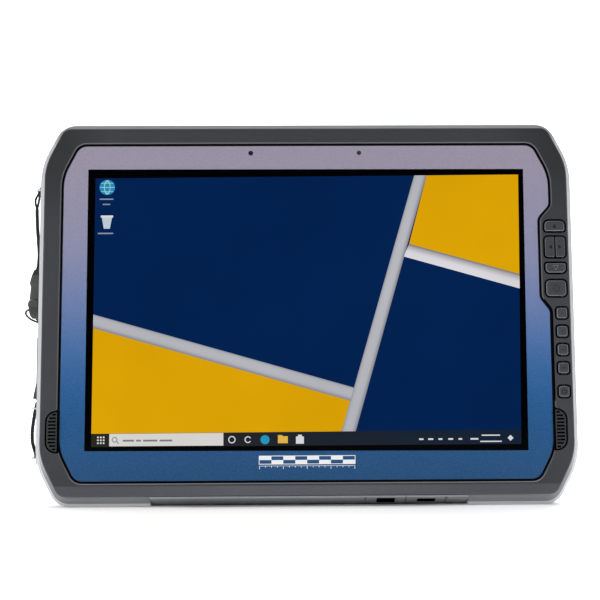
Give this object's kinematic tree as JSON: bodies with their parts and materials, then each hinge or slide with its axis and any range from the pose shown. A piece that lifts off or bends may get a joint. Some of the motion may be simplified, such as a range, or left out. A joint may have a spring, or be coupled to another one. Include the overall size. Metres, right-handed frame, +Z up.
{
  "type": "rugged survey tablet",
  "caption": "Rugged tablet data collector with a wide landscape screen, side keypad, rear battery, hand strap, stylus and tether cord.",
  "frame": {"origin": "centre of the rear four-hole mounting pattern, on its seating plane", "axes": "+X along the long side, to the right of a person facing the screen; +Y out of the back, away from the screen; +Z up the short side"},
  "size_m": [0.283, 0.0453, 0.1976],
  "materials": {
    "bezel_plastic": "fine moulded texture",
    "cover_plastic": "fine moulded texture",
    "port_plastic": "fine moulded texture",
    "battery_plastic": "fine moulded texture",
    "latch_plastic": "satin",
    "key_plastic": "satin",
    "black_plastic": "satin",
    "clip_plastic": "satin",
    "stylus_plastic": "satin",
    "display_black": "smooth",
    "circuit_green": "solder mask",
    "flex_cable": "film",
    "screen_glass": "back printed, gloss",
    "camera_glass": "gloss",
    "flash_lens": "gloss",
    "black_rubber": "matt",
    "grey_rubber": "matt",
    "frame_metal": "satin paint",
    "bright_metal": "satin",
    "connector_metal": "satin",
    "bracket_steel": "black coated",
    "dark_steel": "black oxide",
    "insert_brass": "turned",
    "contact_gold": "plated",
    "strap_fabric": "woven",
    "cord_fabric": "braided"
  },
  "bodies": {
    "case": {"front_bezel": "bezel_plastic", "display_gasket": "black_rubber", "cover_glass": "screen_glass", "display_panel": "display_black", "chassis_plate": "bright_metal", "front_camera": "black_plastic", "light_sensor": "black_plastic", "keypad_mat": "grey_rubber", "dome_switches": "bright_metal", "keypad_board": "circuit_green", "speaker_grille_left": "bezel_plastic", "speaker_grille_right": "bezel_plastic", "speaker_left": "black_plastic", "speaker_right": "black_plastic", "mid_frame": "frame_metal", "port_panel": "port_plastic", "rear_cover": "cover_plastic", "housing_seal": "black_rubber", "housing_screws": "dark_steel", "mount_inserts": "insert_brass", "power_inlet": "connector_metal", "usb_c_port": "connector_metal", "dock_connector": "black_plastic", "dock_pins": "contact_gold", "main_board": "circuit_green", "heat_spreader": "bright_metal", "ssd_module": "circuit_green", "antenna_module": "circuit_green", "display_cable": "flex_cable", "battery_pack": "battery_plastic", "rear_camera": "black_plastic", "camera_window": "camera_glass", "flash_led": "flash_lens", "antenna_cover": "port_plastic", "door_hinge_pin": "bright_metal", "side_port_block": "black_plastic", "hand_strap": "strap_fabric", "strap_brackets": "bracket_steel", "strap_screws": "dark_steel", "stylus_holder": "black_plastic", "tether_cord_upper": "cord_fabric", "tether_cord_lower": "cord_fabric", "tether_clip_socket": "clip_plastic", "tether_anchors": "bracket_steel"},
    "key_up": {"key_up": "key_plastic"},
    "key_left": {"key_left": "key_plastic"},
    "key_right": {"key_right": "key_plastic"},
    "key_down": {"key_down": "key_plastic"},
    "key_enter": {"key_enter": "key_plastic"},
    "key_f1": {"key_f1": "key_plastic"},
    "key_f2": {"key_f2": "key_plastic"},
    "key_f3": {"key_f3": "key_plastic"},
    "key_f4": {"key_f4": "key_plastic"},
    "key_power": {"key_power": "key_plastic"},
    "latch_left": {"battery_latch_left": "latch_plastic"},
    "latch_right": {"battery_latch_right": "latch_plastic"},
    "port_door": {"side_port_door": "port_plastic", "side_door_seal": "black_rubber"},
    "stylus": {"stylus": "stylus_plastic"},
    "clip_plug": {"tether_clip_plug": "clip_plastic"}
  },
  "joints": [
    {"name": "key_up_press", "type": "slide", "parent": "case", "child": "key_up", "axis": [0, 1, 0], "range_m": [0, 0.0008]},
    {"name": "key_left_press", "type": "slide", "parent": "case", "child": "key_left", "axis": [0, 1, 0], "range_m": [0, 0.0008]},
    {"name": "key_right_press", "type": "slide", "parent": "case", "child": "key_right", "axis": [0, 1, 0], "range_m": [0, 0.0008]},
    {"name": "key_down_press", "type": "slide", "parent": "case", "child": "key_down", "axis": [0, 1, 0], "range_m": [0, 0.0008]},
    {"name": "key_enter_press", "type": "slide", "parent": "case", "child": "key_enter", "axis": [0, 1, 0], "range_m": [0, 0.0008]},
    {"name": "key_f1_press", "type": "slide", "parent": "case", "child": "key_f1", "axis": [0, 1, 0], "range_m": [0, 0.0008]},
    {"name": "key_f2_press", "type": "slide", "parent": "case", "child": "key_f2", "axis": [0, 1, 0], "range_m": [0, 0.0008]},
    {"name": "key_f3_press", "type": "slide", "parent": "case", "child": "key_f3", "axis": [0, 1, 0], "range_m": [0, 0.0008]},
    {"name": "key_f4_press", "type": "slide", "parent": "case", "child": "key_f4", "axis": [0, 1, 0], "range_m": [0, 0.0008]},
    {"name": "key_power_press", "type": "slide", "parent": "case", "child": "key_power", "axis": [0, 1, 0], "range_m": [0, 0.0008]},
    {"name": "latch_left_slide", "type": "slide", "parent": "case", "child": "latch_left", "axis": [-1, 0, 0], "range_m": [0, 0.004]},
    {"name": "latch_right_slide", "type": "slide", "parent": "case", "child": "latch_right", "axis": [1, 0, 0], "range_m": [0, 0.004]},
    {"name": "port_door_hinge", "type": "hinge", "parent": "case", "child": "port_door", "pos_m": [-0.1364, -0.0116, -0.029], "axis": [0, 0, -1], "range_deg": [0, 100]},
    {"name": "stylus_slide", "type": "slide", "parent": "case", "child": "stylus", "axis": [0, 0, 1], "range_m": [0, 0.09]},
    {"name": "clip_plug_pull", "type": "slide", "parent": "case", "child": "clip_plug", "axis": [0, 0, -1], "range_m": [0, 0.007]}
  ]
}
